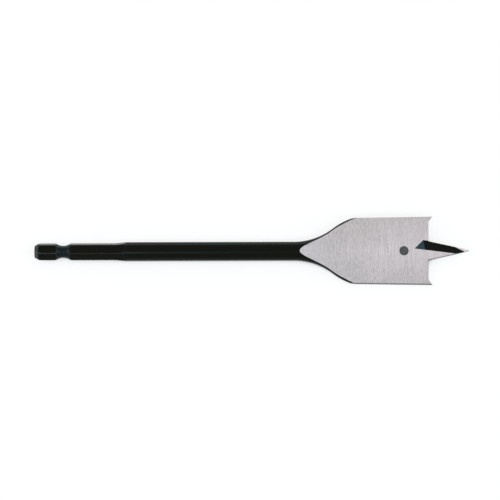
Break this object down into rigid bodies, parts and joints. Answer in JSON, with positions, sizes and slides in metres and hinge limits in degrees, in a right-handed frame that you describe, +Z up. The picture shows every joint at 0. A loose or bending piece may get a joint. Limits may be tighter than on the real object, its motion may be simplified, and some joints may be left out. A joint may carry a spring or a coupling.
{
  "type": "spade drill bit",
  "caption": "Spade drill bit with a quick-change hex shank, a round body and a flat ground blade with cutting lips, outer spurs, a fluted point and a wire hole.",
  "frame": {"origin": "on the surface that the bit lies on, half way along its length and below its axis", "axes": "+X along the bit from the shank's end to the tip, +Y across the blade, +Z up; the blade is rolled about X as it comes to rest on the round shank and the corner of one spur"},
  "size_m": [0.178, 0.027, 0.0078],
  "materials": {
    "tool_steel": "blade ground bright across its width; shank, hex, neck and the point's flute black oxide"
  },
  "bodies": {
    "root": {"spade_bit": "tool_steel"}
  },
  "joints": []
}
